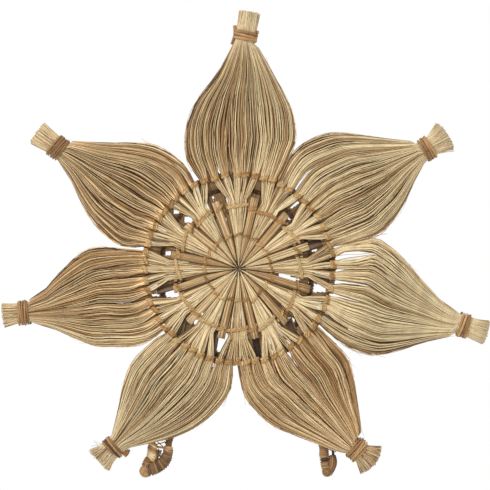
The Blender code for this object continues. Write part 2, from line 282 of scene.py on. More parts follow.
class Wiring:
    # short ways to add nodes to one tree
    def __init__(self, tree):
        self.tree = tree

    def join(self, source, target):
        if isinstance(source, (int, float, tuple)):
            target.default_value = source
        else:
            self.tree.links.new(source, target)

    def fill(self, inputs, **sources):
        for key, source in sources.items():
            self.join(source, inputs[key.replace("_", " ")])

    def node(self, kind, *values, **settings):
        # the values go to the first inputs
        made = self.tree.nodes.new(kind)
        for key, value in settings.items():
            setattr(made, key, value)
        for value, socket in zip(values, made.inputs):
            self.join(value, socket)
        return made

    def maths(self, operation, *values):
        return self.node("ShaderNodeMath", *values, operation=operation).outputs[0]

    def times(self, one, two):
        return self.maths("MULTIPLY", one, two)

    def vector(self, x, y, z=0):
        return self.node("ShaderNodeCombineXYZ", x, y, z).outputs[0]

    def noise(self, x, y, detail=2, roughness=0.5):
        made = self.node("ShaderNodeTexNoise", self.vector(x, y), noise_dimensions="2D")
        self.fill(made.inputs, Scale=1, Detail=detail, Roughness=roughness)
        return made.outputs["Fac"]

    def span(self, value, low, high, toLow=0, toHigh=1):
        return self.node("ShaderNodeMapRange", value, low, high, toLow, toHigh).outputs[0]

    def blend(self, kind, share, one, two):
        made = self.node("ShaderNodeMix", share, data_type="RGBA", blend_type=kind)
        self.join(one, made.inputs[6])
        self.join(two, made.inputs[7])
        return made.outputs[2]


# colours of warm straws, pale tips, specks and cut ends, and where along the map each change fades
shadeValues = Values(
    warm=(1, 0.72, 0.48, 1), tip=(0.72, 0.58, 0.36, 1), speck=(0.4, 0.27, 0.18, 1),
    cut=(0.75, 0.68, 0.6, 1), baseFade=(0.03, 0.22), neckFade=(0.4, 0.62), tipFade=(0.78, 0.9))


def strandGroup():
    # everything is read from the map: along the straw in x, and shade and way round it in y
    group = bpy.data.node_groups.new("strandShade", "ShaderNodeTree")
    inputs = Values(Vector=["Place"], Color=["Dark", "Middle", "Light"],
                    Float=["Warm", "Pale tips", "Pale base", "Dull neck", "Turns"])
    outputs = Values(Color=["Color"], Float=["Roughness", "Height"])
    for way, sockets in (("INPUT", inputs), ("OUTPUT", outputs)):
        for kind, labels in sockets.items():
            for label in labels:
                group.interface.new_socket(label, in_out=way, socket_type=f"NodeSocket{kind}")
    w = Wiring(group)
    given = w.node("NodeGroupInput").outputs
    split = w.node("ShaderNodeSeparateXYZ", given["Place"])
    along = split.outputs[0]
    scaled = w.times(split.outputs[1], rowCount)
    row = w.maths("FLOOR", scaled)
    shade = w.maths("DIVIDE", row, rowCount - 1)
    colour = w.blend("MIX", w.span(shade, 0, 0.5), given["Dark"], given["Middle"])
    colour = w.blend("MIX", w.span(shade, 0.5, 1), colour, given["Light"])
    lone = w.node("ShaderNodeTexWhiteNoise", noise_dimensions="1D")
    w.fill(lone.inputs, W=row)
    warmth = w.times(w.span(lone.outputs["Value"], 0, 1, 0.25, 0.85), given["Warm"])
    warmth = w.times(warmth, w.span(shade, 0.45, 0.95, 1, 0.2))
    colour = w.blend("MULTIPLY", warmth, colour, shadeValues.warm)
    # slow change along the straw, and fine lines that run with it
    patch = w.noise(w.times(along, 11), w.times(row, 5.7), 3, 0.6)
    lines = w.noise(w.times(along, 6), w.times(scaled, 5))
    value = w.times(w.span(patch, 0.3, 0.7, 0.78, 1.16), w.span(lines, 0.3, 0.7, 0.84, 1.1))
    # the twist of spun fibre, as slanting lines that darken its grooves with painted shade
    wayRound = w.times(w.maths("FRACT", scaled), 1.25 * tau)
    turned = w.times(w.times(along, given["Turns"]), tau)
    wave = w.maths("SINE", w.maths("ADD", wayRound, turned))
    spun = w.times(w.maths("MINIMUM", given["Turns"], 1), w.span(wave, -1, 1, 1, 0))
    value = w.times(value, w.span(spun, 0, 1, 1, 0.62))
    base = w.times(w.span(along, *shadeValues.baseFade, 1, 0), given["Pale base"])
    # straws darker towards the neck: painted shade where they pack closely
    neck = w.times(w.span(along, *shadeValues.neckFade), given["Dull neck"])
    value = w.times(value, w.maths("ADD", 1, w.maths("SUBTRACT", base, neck)))
    colour = w.blend("MULTIPLY", 1, colour, w.vector(value, value, value))
    tips = w.times(w.span(along, *shadeValues.tipFade), given["Pale tips"])
    colour = w.blend("MIX", tips, colour, shadeValues.tip)
    # dark specks, and the pith on a cut end
    specks = w.noise(w.times(along, 70), w.times(scaled, 2.3), 1)
    colour = w.blend("MULTIPLY", w.span(specks, 0.68, 0.78, 0, 0.6), colour, shadeValues.speck)
    cut = w.maths("GREATER_THAN", along, mapPlaces.capStart)
    w.fill(w.node("NodeGroupOutput").inputs, Color=w.blend("MULTIPLY", cut, colour, shadeValues.cut),
           Roughness=w.span(lines, 0.3, 0.7, 0.66, 0.48), Height=w.maths("SUBTRACT", lines, spun))
    return group


strandShade = strandGroup()


def finish(name, tones, bump=0.4, **values):
    # tones are the dark, middle and light colour, and values set the group's other inputs
    material = bpy.data.materials.new(name)
    material.use_nodes = True
    w = Wiring(material.node_tree)
    made = w.node("ShaderNodeGroup", node_tree=strandShade)
    dark, middle, light = [(*tone, 1) for tone in tones]
    w.fill(made.inputs, Place=w.node("ShaderNodeUVMap", uv_map="OFBake").outputs[0],
           Dark=dark, Middle=middle, Light=light, **values)
    relief = w.node("ShaderNodeBump")
    w.fill(relief.inputs, Strength=bump, Distance=0.2 * mm, Height=made.outputs["Height"])
    w.fill(material.node_tree.nodes["Principled BSDF"].inputs, Specular_IOR_Level=0.3,
           Base_Color=made.outputs["Color"], Roughness=made.outputs["Roughness"], Normal=relief.outputs[0])
    return material


strawTones = (0.065, 0.033, 0.011), (0.4, 0.25, 0.107), (0.82, 0.68, 0.41)
petalStraw = finish("petalStraw", strawTones, Warm=0.6, Pale_tips=0.55, Dull_neck=0.2)
coolStraw = finish("coolStraw", strawTones, Warm=0.22, Pale_tips=0.6, Pale_base=-0.1, Dull_neck=0.13)
mixedStraw = finish("mixedStraw", strawTones, Warm=0.75, Pale_tips=0.45, Pale_base=0.5, Dull_neck=0.11)
warmStraw = finish("warmStraw", strawTones, Warm=0.85, Pale_tips=0.3)
webStraw = finish("webStraw", strawTones, Warm=0.08)
stubStraw = finish("stubStraw", strawTones, Warm=0.35)
twineFibre = finish(
    "twineFibre", ((0.05, 0.024, 0.01), (0.46, 0.26, 0.09), (0.76, 0.58, 0.29)), 0.8, Warm=0.3, Turns=48)
rattanPeel = finish(
    "rattanPeel", ((0.09, 0.042, 0.016), (0.37, 0.21, 0.085), (0.64, 0.45, 0.22)), 0.7, Warm=0.3)
barkStrip = finish(
    "barkStrip", ((0.035, 0.018, 0.008), (0.2, 0.11, 0.047), (0.5, 0.31, 0.135)), 0.8, Warm=0.2)
shadedCane = finish(
    "shadedCane", ((0.02, 0.012, 0.007), (0.1, 0.06, 0.034), (0.26, 0.18, 0.11)), 0.6, Warm=0.3)
print("materials ready")


petalValues = Values(
    # straws of each finger, where the first lies, its stray, lowest and highest lift, radius, change of
    # shade, its spread, and sway: pale ones with darker ones between, dark partly in their own colour and
    # partly as painted shade between the pale ones, loose ones, shaded ones and the back
    layers=[
        (10, 0.5, 0.35, 0.86, 1.0, 0.36, 0.12, 0.28, 0.006),
        (10, 0, 0.35, 0.6, 0.74, 0.52, -0.42, 0.2, 0.005),
        (12, 0.5, 0.45, 0.7, 1.0, 0.3, -0.08, 0.42, 0.016),
        (14, 0.5, 0.4, 0.1, 0.45, 0.85, -0.42, 0.2, 0.004),
        (13, 0.5, 0.4, -1.0, -0.7, 0.65, -0.12, 0.3, 0.006)],
    neckThick=0.34, tuftThick=0.45, fingerHalf=(4.1, 5.2), pinch=3.5,
    ridge=0.45, ragged=1.5, locks=3, hairs=16, edgeHairs=14,
    tone=0.58, wave=0.008, closing=(0.04, 0.18), straw=petalStraw, slits={}, lastTone=0,
    crown=0, lens=None, inner=60)
# slits show the wall between two fingers, by number and where they close; lens is a wide one, as its
# number, how far out it reaches and how far it parts the straws; crown rounds the tuft's cut end
petalTweaks = Values(
    top=Values(tone=0.58, slits={2: 0.06}),
    upper_right=Values(tone=0.65, straw=coolStraw, slits={2: 0.34}, crown=2),
    right=Values(
        # the last finger's change darkens the lower edge: partly brown straws, partly painted shade
        closing=(0.06, 0.16), tone=0.96, straw=coolStraw, lastTone=-0.3,
        slits={1: 0.2, 2: 0.08, 3: 0.04, 4: 0.05}, lens=(1, 0.3, 0.045)),
    lower_right=Values(tone=0.56, straw=warmStraw, slits={4: 0.08, 5: 0.17}, crown=4.5),
    lower_left=Values(tone=0.61, straw=coolStraw, slits={2: 0.2}),
    left=Values(tone=0.51, straw=mixedStraw, slits={3: 0.14}),
    upper_left=Values(tone=0.48, straw=mixedStraw, slits={1: 0.22}))
# depths at the web, in the belly and at the neck: the middle, and from it to the front and the back
petalDepths = Values(
    middle=(12.4, 16.5), front=(2.3, 7.5, 10.6), back=(2.1, 10.6), neckHalf=10.3, tuftHalf=11,
    shaded=11.5, hair=12.6)
# straws that close a seam between two petals: its angles and how far it reaches
seams = Values(top=(24.1, 24.8, 136))
stations = [
    0, 0.03, 0.06, 0.09, 0.125, 0.165, 0.21, 0.255, 0.3, 0.35, 0.41, 0.47, 0.53, 0.59, 0.65, 0.71, 0.78,
    0.86, 0.93, 1]
fewStations = [0, 0.07, 0.16, 0.28, 0.41, 0.55, 0.7, 0.85, 1]


def petalSpot(petal, edges, u, share):
    start, (low, high) = petalStart, petal.base
    bulge = polar(start, low + (high - low) % 360 * u) - mix(polar(start, low), polar(start, high), u)
    return mix(steps(edges[0], share), steps(edges[1], share), u) + bulge * (1 - share) ** 3


def swell(u):
    # 0 at both edges and 1 in the middle
    return 2 * sqrt(max(u * (1 - u), 0))


def bodyDepth(u, lift, share):
    necking = smooth((share - 0.6) / 0.4)
    atWeb, belly, neck = petalDepths.front
    front = mix(mix(atWeb, belly, smooth(share / 0.35)), neck, necking)
    half = front if lift > 0 else mix(*petalDepths.back, necking)
    return mix(*petalDepths.middle, necking) + half * lift * swell(u)


def neckFrame(petal):
    tie, tip = polar(*petal.tie), polar(*petal.tip)
    along = (tip - tie).normalized()
    return tie, tip, along, Vector((along.y, -along.x))


def petalStrand(petal, plan, j, v, look, rng):
    # one straw of finger j, v across the finger from -1 to 1
    lowest, highest, thick, shift, grain, sway = look
    low, high = petal.base
    width, own, locks = (high - low) % 360, plan.own, plan.locks
    lift = rng.uniform(lowest, highest)
    u1 = (j + 0.5 + 0.5 * v) / len(own)
    settled = mix(0.45, 0.14, abs(2 * u1 - 1) ** 6)
    swing, phase = rng.gauss(0, sway), rng.uniform(0, tau)
    start = webDepth + 1.8 * lift
    points = [place(across(r, low + own[j] * width, v * plan.pinch), start) for r in (95.4, 98)]
    radii = [0.42, 0.4]
    parted = plan.lens if sway < 0.01 or rng.random() < 0.4 else None
    inLock = (v + 1) / 2 * locks % 1 * 2 - 1
    for share in (stations if lowest > 0.6 else fewStations):
        half = mix(*plan.fingerHalf, smooth(share / plan.closings[j + (v > 0)]))
        u = mix(own[j] + v * half / petalStart / radians(width), u1, smooth(share / settled))
        wave = plan.wave * sin(share * 8 + plan.phase + u1 * len(own) * 1.1)
        u += (swing * sin(share * 5 + phase) + wave) * sin(pi * share)
        if parted:
            number, reach, push = parted
            seam = mix((own[number - 1] + own[number]) / 2, number / len(own), smooth(share / 0.3))
            spread = 1 - abs(u - seam) * len(own) / 1.2
            if spread > 0 and share < reach:
                push *= spread * sin(pi * (share / reach) ** 0.7)
                u += push if j >= number else -push
        u = clamp(u)
        valley = plan.ridge * (0.7 * v * v + 0.3 * inLock * inLock) * (1 - smooth(share / 0.8))
        depth = bodyDepth(u, lift, share) - (valley if lift > 0 else -valley)
        points.append(place(petalSpot(petal, plan.edges, u, share), depth))
        radii.append(mix(thick, plan.neckThick, smooth((share - 0.55) / 0.45)))
    tie, tip, along, aside = neckFrame(petal)
    sideways, neckDepth, neckHalf = 2 * u1 - 1, petalDepths.middle[1], petalDepths.neckHalf
    for at in (-7, 7):
        flat = tie + along * at + aside * sideways * neckHalf
        points.append(place(flat, neckDepth + neckHalf * lift * swell(u1)))
        radii.append(plan.neckThick)
    cut = tip + along * (rng.gauss(-0.4, 0.45) * plan.ragged + plan.crown * (1 - sideways ** 2))
    spread = sideways + rng.gauss(0, 0.08)
    depth = neckDepth + petalDepths.tuftHalf * lift * swell(u1) + rng.gauss(0, 0.5)
    points.append(place(cut + aside * spread * (petal.flare - 0.4), depth))
    shade = plan.fingerTones[j] + plan.lockTones[j][min(int((v + 1) / 2 * locks), locks - 1)]
    # straws at a finger's edges are made darker: painted shade in the valley between two fingers
    shade += rng.gauss(0, grain) + shift - 0.1 * smooth((abs(v) - 0.8) / 0.2)
    return Strand(points, radii + [plan.tuftThick], shade)


def edgeFrame(edges, side, share):
    # a point of one edge, the way along it and the way out of the petal
    spot = steps(edges[side], share)
    ahead = (steps(edges[side], min(share + 0.04, 1)) - steps(edges[side], share - 0.04)).normalized()
    out = Vector((-ahead.y, ahead.x))
    if out.dot(spot - mix(steps(edges[0], share), steps(edges[1], share), 0.5)) < 0:
        out = -out
    return spot, ahead, out


def strayHair(edges, rng):
    # a fine loose end that leaves one edge
    spot, ahead, out = edgeFrame(edges, rng.choice((0, 1)), rng.uniform(0.08, 0.95))
    reach, lean = rng.uniform(8, 22), rng.uniform(0.02, 0.16)
    points = [place(spot - out * 0.8 + (ahead + out * lean * t) * reach * t,
                    petalDepths.hair + rng.uniform(-0.4, 0.4)) for t in (0, 0.33, 0.66, 1)]
    return Strand(points, [0.17, 0.16, 0.14, 0.09], rng.uniform(0.2, 0.9))


def edgeHair(edges, rng):
    # a fine straw that stands a little off one edge
    side, first, off = rng.choice((0, 1)), rng.uniform(0.05, 0.5), rng.uniform(0.5, 1.8)
    last = first + rng.uniform(0.25, 0.45)
    points = []
    for i in range(11):
        spot, _, out = edgeFrame(edges, side, mix(first, last, i / 10))
        points.append(place(spot + out * (off * sin(pi * i / 10) - 0.4), petalDepths.hair))
    return Strand(points, 0.22, rng.uniform(0.2, 0.9))


def buildPetal(name, petal, rng):
    plan = Values(petalValues, **petalTweaks[name])
    low, high = petal.base
    width = (high - low) % 360
    # a finger at the very edge is taken in with the others
    own = sorted(clamp((angle - low) % 360 / width, 0.02, 0.98)
                 for angle in fingers if (angle - low) % 360 < width + 1.3)
    edges = [evenLine([polar(petalStart, angle)] + [polar(*stop) for stop in petal[side]])
             for side, angle in zip(("low", "high"), petal.base)]
    plan.update(
        own=own, edges=edges, phase=rng.uniform(0, tau),
        fingerTones=[plan.tone + rng.gauss(0, 0.025) for _ in own],
        lockTones=[[rng.gauss(0, 0.03) for _ in range(plan.locks)] for _ in own],
        closings=[rng.uniform(*plan.closing) for _ in range(len(own) + 1)])
    # the last finger's change of tone: partly the straws' own colour, partly painted shade on a lower edge
    plan.fingerTones[-1] += plan.lastTone
    strands = []
    # shaded straws behind the gap between two fingers, but for the slits
    for j in range(1, len(own)):
        if j in plan.slits:
            plan.closings[j] = plan.slits[j]
            continue
        between = (own[j - 1] + own[j]) / 2
        points = [place(polar(96.4, low + between * width), petalDepths.shaded - 0.1)]
        for share in (0, 0.07, 0.14, 0.22):
            u = mix(between, j / len(own), smooth(share / 0.45))
            points.append(place(petalSpot(petal, edges, u, share), petalDepths.shaded))
        strands.append(Strand(points, [1.2, 1.7, 1.5, 1.1, 0.5], rng.uniform(0.05, 0.35)))
    for j in range(len(own)):
        for count, first, stray, *look in plan.layers:
            for k in range(count):
                v = (k + first + rng.uniform(-stray, stray)) / count * 2 - 1
                strands.append(petalStrand(petal, plan, j, v, look, rng))
    for k in range(9 if name in seams else 0):
        aside = rng.uniform(-1.4, 1.4)
        first, last, reach = seams[name]
        reach -= rng.uniform(0, 8)
        points = [place(across(mix(96, reach, t), mix(first, last, t), aside * (1 - 0.7 * t)),
                        petalDepths.shaded + 0.1 * k) for t in (0, 0.3, 0.6, 1)]
        strands.append(Strand(points, [0.4, 0.45, 0.45, 0.3], rng.uniform(0.2, 0.9)))
    # the inside of the tuft
    tie, tip, along, aside = neckFrame(petal)
    for k in range(plan.inner):
        turn, out = k * 2.4, sqrt((k + 0.5) / plan.inner) * 0.8
        side, deep = cos(turn) * out, petalDepths.middle[1] + 9.5 * sin(turn) * out
        end = tip + along * (rng.uniform(-1.2, -0.2) + plan.crown * (1 - side * side))
        points = [place(tie + aside * 9 * side, deep), place(end + aside * petal.flare * side, deep)]
        strands.append(Strand(points, [0.9, 1.1], plan.tone + rng.gauss(-0.1, 0.2), 0.3))
    strands += [strayHair(edges, rng) for _ in range(plan.hairs)]
    strands += [edgeHair(edges, rng) for _ in range(plan.edgeHairs)]
    addStrands(f"petalStraws_{name}", strands, plan.straw, "straw", f"petal_{name}", smoothness=0)


buildAll(buildPetal, petals, 100)
print("petals ready")


# tables hold (mm from the hub, value), and fingerHalf (share of the finger, value)
spokeValues = Values(
    front=15, back=6, reachHub=0.6, tone=0.74, grain=0.32, cross=0.12,
    radii=[(2, 0.2), (34, 0.33), (64, 0.38), (100, 0.38)],
    half=[(2.4, 0.3), (34, 3.8), (64, 9.9)], fork=71, forkStep=3.92, end=98.8,
    fingerHalf=[(0, 1.95), (0.33, 2.9), (0.66, 3.5), (0.88, 3.5), (1, 3.1)],
    shaded=4, shadedDepth=10.8)
stubValues = Values(
    front=12, back=6, tone=0.6, grain=0.15, radii=[(7, 0.24), (34, 0.42), (75, 0.5)],
    half=[(7, 0.55), (34, 3.4)], endHalf=3.9,
    shaded=6, shadedFrom=2, shadedTo=59, shadedDepth=10.9)
openSlit = (101.5, 42)  # the one gap inside the web that shows the wall: its angle, and where it begins

# shaded straws close the gaps beyond the stubs, but for these windows: x, z, x, z in mm about the hub
slots = [  # slanting ones: x, z and half width of both ends
    (53.5, 62.3, 1.5, 61.5, 68.5, 2.2), (41.5, -7.4, 2.2, 62, -12.6, 3), (-29, -37, 1, -33, -42, 1.4)]
windows = [
    (50.8, 50.4, 55.5, 54.5), (80.6, 29.6, 86.8, 32.2), (72.8, 17.4, 80.6, 21.5),
    (84.5, 15, 89.5, 17.9), (72.9, -24.6, 89.5, -15.9), (72.1, -15.9, 78, -12.7), (51.3, -54.7, 58, -50.6),
    (55.5, -68.6, 59.6, -64), (-22.4, -86.6, -10.8, -67.1), (-46.2, -57.8, -41.2, -52.6),
    (-39.9, -48.5, -36, -44.8), (-89.3, -28.9, -82.1, -25.9), (-77.6, -30, -61.8, -21.7),
    (-75.5, 13.3, -70.2, 18.4), (-67.2, 56.5, -61.2, 60.7), (-55.9, 47.3, -47.6, 53.5),
    (-27.5, 69.1, -25.7, 75.1), (-35.7, 81.3, -33.7, 85.4)]
fillValues = Values(
    count=16, pieces=72, first=54, last=97.2, thick=0.95, depth=10.3, tone=(0.03, 0.3),
    half=[(54, 8), (72, 8.2), (86, 4.8), (97.2, 2.8)])


def isOpen(flat):
    # the hoop and the canes show through as well as the wall
    away = flat - Vector(hoopValues.shift)
    reach = Vector((away.x / hoopValues.halfWide, away.y / hoopValues.halfTall)).length
    if abs(reach - 1) < 0.025 or any(x0 < flat.x < x1 and z0 < flat.y < z1 for x0, z0, x1, z1 in windows):
        return True
    for x0, z0, half0, x1, z1, half1 in slots + [(*one, *two) for one, two in canes.values()]:
        start, line = Vector((x0, z0)), Vector((x1 - x0, z1 - z0))
        t = (flat - start).dot(line) / line.length_squared
        if 0 <= t <= 1 and (flat - start - line * t).length < mix(half0, half1, t) - 0.4:
            return True
    return False


def gapFill(index, rng):
    # short shaded straws between two spokes, left out where the gap is open
    values, strands = fillValues, []
    for k in range(values.count):
        v = (k + 0.5) / values.count * 2 - 1
        run, shade = [], rng.uniform(*values.tone)
        for i in range(values.pieces + 1):
            reach = mix(values.first, values.last, i / values.pieces)
            flat = polar(reach, stubAngle(index) + v * steps(values.half, reach) * gapAfter(index) / 30)
            opened = isOpen(flat)
            if not opened:
                run.append(flat)
            if len(run) > 1 and (opened or i == values.pieces):
                ends = [place(spot, values.depth + rng.uniform(-0.2, 0.3)) for spot in (run[0], run[-1])]
                strands.append(Strand(ends, values.thick, shade, rng.uniform(0, 0.5)))
            if opened:
                run = []
    return strands


def bundle(values):
    # the straws of a bundle, front ones first, as (face, number, count)
    return [(face, k, count) for face, count in ((1, values.front), (-1, values.back))
            for k in range(count)]


def buildSpoke(index, rng):
    values, strands, angle = spokeValues, [], web.spokeAngles[index]
    fork, end, step = values.fork, values.end, values.forkStep
    for finger in range(-2, 3):
        tone = values.tone + rng.uniform(-0.1, 0.1)
        away = fingerAngle(index, finger)
        for face, k, count in bundle(values):
            v = (k + rng.uniform(0.15, 0.85)) / count * 2 - 1
            lift = face * rng.uniform(0.75, 1)
            share = (finger + 0.5 * v) / 2.5
            inside = rng.random() < values.reachHub and face > 0
            cross = rng.gauss(0, values.cross)
            start = rng.uniform(2.4, 7) if inside else rng.uniform(20, 58)
            points, radii = [], []
            for r in [start] + [r for r in (14, 24, 34, 44, 54, 64) if r > start + 3]:
                bent = clamp(share + cross * sin(pi * r / fork), -1)
                flat = across(r, angle, steps(values.half, r) * bent)
                points.append(place(flat, webDepth + lift * (webHalf - 1.3 * share ** 2)))
                radii.append(steps(values.radii, r))
            for t, half in values.fingerHalf:
                flat = mix(across(fork, angle, finger * step), polar(end, away), t)
                bent = clamp(v - 2 * cross * sin(pi * t), -1)
                flat += across(0, mix(angle, away, t), bent * half)
                thin = 1.1 * v * v * t + 1.3 * share ** 2 * (1 - t)
                points.append(place(flat, webDepth + lift * (webHalf - thin)))
                radii.append(steps(values.radii, mix(fork, end, t)))
            shade = tone + rng.gauss(0, values.grain)
            # front straws at a finger's edges are darker: painted shade between the fingers
            shade -= 0.3 * smooth((abs(v) - 0.7) / 0.3) * (face > 0)
            if rng.random() < 0.1:
                shade -= 0.35
            strands.append(Strand(points, radii, shade, rng.uniform(0, 0.3)))
        # shaded straws behind the gap to the next finger
        for k in range(values.shaded if finger < 2 else 0):
            middle = finger + 0.2 + 0.6 * (k + 0.5) / values.shaded
            after = fingerAngle(index, finger + 1)
            ends = across(66, angle, middle * 3.8), polar(100, mix(away, after, middle - finger))
            points = [place(mix(*ends, t), values.shadedDepth) for t in (0, 0.5, 1)]
            strands.append(Strand(points, [0.5, 0.75, 0.9], rng.uniform(0.03, 0.25)))
    name = f"{index + 1:02d}"
    addStrands(f"spokeStraws_{name}", strands, webStraw, "pale_straw", f"spoke_{name}", smoothness=0)


def buildStub(index, rng):
    values, angle, gap = stubValues, stubAngle(index), gapAfter(index) / 2
    lean, end = angle + web.stubLeans[index], web.stubEnds[index]
    tone = values.tone + rng.uniform(-0.1, 0.1)
    strands = []
    for face, k, count in bundle(values):
        v = (k + rng.uniform(0.2, 0.8)) / count * 2 - 1
        lift = face * rng.uniform(0.75, 1)
        stop = end - rng.uniform(0, 1)
        points, radii = [], []
        for r in (rng.uniform(7, 11), 20, 34, 45, 56, 66, stop):
            if r <= 34:
                flat = across(r, angle, v * steps(values.half, r))
            else:
                ends = across(34, angle, v * values.half[-1][1]), across(end, lean, v * values.endHalf)
                flat = mix(*ends, (r - 34) / (end - 34))
            points.append(place(flat, webDepth + lift * (webHalf - 1.1 * v * v)))
            radii.append(steps(values.radii, r))
        # straws at the stub's edges are darker: painted shade beside the stub
        shade = tone + rng.gauss(0, values.grain) - 0.15 * smooth((abs(v) - 0.7) / 0.3)
        strands.append(Strand(points, radii, shade, rng.uniform(0, 0.3)))
    # shaded straws behind the gaps beside the stub
    for side in (-1, 1):
        last = openSlit[1] if abs(angle + side * gap / 2 - openSlit[0]) < 5 else values.shadedTo
        for k in range(values.shaded):
            away = angle + side * gap * (0.24 + 0.4 * (k + rng.uniform(0.3, 0.7)) / values.shaded)
            stops = [values.shadedFrom + rng.uniform(0, 1), 30, last - rng.uniform(0, 4)]
            points = [place(across(r, away, rng.uniform(-0.4, 0.4)), values.shadedDepth) for r in stops]
            strands.append(Strand(points, [0.5, 0.8, 1.0], rng.uniform(0.05, 0.3), rng.uniform(0, 0.3)))
    strands += gapFill(index, rng)
    name = f"{index + 1:02d}"
    addStrands(f"stubStraws_{name}", strands, stubStraw, "brown_straw", f"stub_{name}", smoothness=0)


for index in range(12):
    buildSpoke(index, Random(200 + index))
    buildStub(index, Random(300 + index))
print("web ready")


# each lashing passes slantwise over a bundle and back behind it. A ring's plies, their radius, rise and
# shades, their reach past the bundle, how far they gather there and stray, and the length of the dark
# pinch between two lashings, which is painted shade
twineValues = Values(
    inner=(3, 0.48, 1.7, (0.36, 0.78), 1.15, 0.1, 1.8, 0),
    middle=(4, 0.5, 2.6, (0.34, 0.76), 1.2, 0.2, 1.3, 0),
    outer=(4, 0.72, 1.7, (0.38, 0.7), 1.16, 0.5, 0.8, 2.6))
# across the bundle, and out from its middle
wrapPath = [(-1, -0.2), (-0.86, 0.55), (-0.58, 1), (0, 1.1), (0.58, 1), (0.86, 0.55), (1, -0.2)]


def buildTwine(name, bundles, rng):
    # bundles holds (angle, half width in degrees, change of tone) round the ring
    plies, thick, slope, tones, reach, gather, stray, dark = twineValues[name]
    radius, strands = web.rings[name], []
    for angle, half, change in bundles:
        tone = rng.uniform(*tones) + change
        shift = rng.uniform(-1, 1) * stray
        rise = slope * rng.uniform(0.6, 1.3)
        for face, ply in [(face, ply) for face in (1, -1) for ply in range(plies)]:
            aside = (ply - (plies - 1) / 2) * thick * 1.75
            points = []
            for t, lift in wrapPath:
                out = radius + shift + aside * (1 - gather * t * t) + rise * t * face
                flat = polar(out, angle + half * reach * t)
                points.append(place(flat, webDepth + face * lift * 2.75))
            radii = [thick * rng.uniform(0.9, 1.1) for _ in wrapPath]
            strands.append(Strand(points, radii, tone + rng.gauss(0, 0.08), rng.uniform(0, 0.7)))
        # a dark pinch between two lashings: painted shade in the gap
        if dark:
            away = dark * rng.uniform(0.8, 1.2)
            stops = (-away, -0.5, 0.5, away + 1.5)
            points = [place(polar(radius + out, angle + half * 1.4), 12.6) for out in stops]
            strands.append(Strand(points, [0.35, 0.95, 0.95, 0.3], rng.uniform(0, 0.12)))
    addStrands(f"twineRing_{name}", strands, twineFibre, "twine", f"twine_{name}")


def webBundles(radius):
    # spokes and stubs by turns
    half = degrees(steps(spokeValues.half, radius) / radius)
    return [row for index, angle in enumerate(web.spokeAngles)
            for row in ((angle, half, 0), (stubAngle(index), degrees(3.8 / radius), -0.12))]


rings = web.rings
buildTwine("inner", webBundles(rings.inner), Random(1))
buildTwine("middle", webBundles(rings.middle), Random(2))
buildTwine("outer", [(angle, degrees(3.6 / rings.outer), 0) for angle in sorted(fingers)], Random(3))
print("twine ready")


def buildHub(rng):
    # a dark tangle of twine over the middle, and dark cores behind it, painted shade that closes it from
    # behind
    strands = []
    for _ in range(9):
        size, lean, turn = rng.uniform(1.2, 3.6), rng.uniform(-0.5, 0.5), rng.uniform(0, tau)
        points = []
        for a in [tau * i / 12 for i in range(12)]:
            flat = Vector((size * cos(a), 0.6 * size * sin(a)))
            flat.rotate(Matrix.Rotation(turn, 2))
            points.append(place(flat, 13.6 + lean * size * sin(a)))
        strands.append(Strand(points, 0.42, rng.uniform(0.1, 0.9), closed=True))
    # the dark cores are painted shade behind the hub
    for depths, radii in (((10.4, 11), [9, 8]), ((10.6, 13.6), [2.6, 2.2])):
        strands.append(Strand([place((0, 0), depth) for depth in depths], radii, 0.02))
    addStrands("hubTangle", strands, shadedCane, "twine", "hub_knot")


buildHub(Random(5))


def wrapLoops(centres, rng, sides, slant):
    # closed turns of bark round a rod: centres holds (point, direction, radius, shade, thickness)
    strands = []
    for centre, direction, radius, shade, thick in centres:
        sideways = direction.cross(Vector((0, 1, 0))).normalized()
        points = []
        for a in [tau * i / sides for i in range(sides)]:
            away = sideways * cos(a) + Vector((0, -1, 0)) * sin(a)
            points.append(centre + (away * radius + direction * slant * cos(a)) * mm)
        strands.append(Strand(points, thick * rng.uniform(0.92, 1.08), shade, closed=True))
    return strands


def buildHoop(rng):
    values = hoopValues
    size = values.halfWide, values.halfTall
    spot = lambda a, depth: place(
        Vector(values.shift) + Vector((size[0] * sin(a), size[1] * cos(a))), depth)
    points = [spot(tau * i / 72, values.depth) for i in range(72)]
    strands = [Strand(points, values.core, 0.1, closed=True)]
    centres = []
    for a in [tau * i / values.wraps for i in range(values.wraps)]:
        ahead = (spot(a + 0.01, 0) - spot(a - 0.01, 0)).normalized()
        centres.append((spot(a, values.depth), ahead, values.wrapRadius, rng.uniform(0.1, 0.5),
                        values.wrapThick))
    addStrands("hoopBark", strands + wrapLoops(centres, rng, 8, 0.6), barkStrip, "bark_wrap", "hoop")


buildHoop(Random(6))


# the stems' tones are kept low: painted shade over the canes' own brown
caneValues = Values(
    stems=7, depth=8.6,
    tones=Values(limb_right_inner=(0, 0.12), back_cane=(0.15, 0.9)), otherTone=(0.15, 0.75))


def buildCane(name, ends, rng):
    # a flat bundle of stems, side by side, dark partly in their own colour and partly as painted shade
    flats = [Vector(end[:2]) for end in ends]
    along = (flats[1] - flats[0]).normalized()
    aside = Vector((along.y, -along.x))
    strands = []
    for k in range(caneValues.stems):
        v = (k + 0.5) / caneValues.stems * 2 - 1
        points, radii = [], []
        for t in (0, 0.25, 0.5, 0.75, 1):
            half = mix(ends[0][2], ends[1][2], t)
            flat = mix(*flats, t) + aside * half * (v * 0.88 + rng.gauss(0, 0.03))
            points.append(place(flat, caneValues.depth + 0.25 * (1 - v * v)))
            radii.append(half * 0.2)
        tone = caneValues.tones.get(name, caneValues.otherTone)
        strands.append(Strand(points, radii, rng.uniform(*tone)))
    addStrands(f"{name}Stems", strands, shadedCane, "back_cane", name)


buildAll(buildCane, canes, 30)


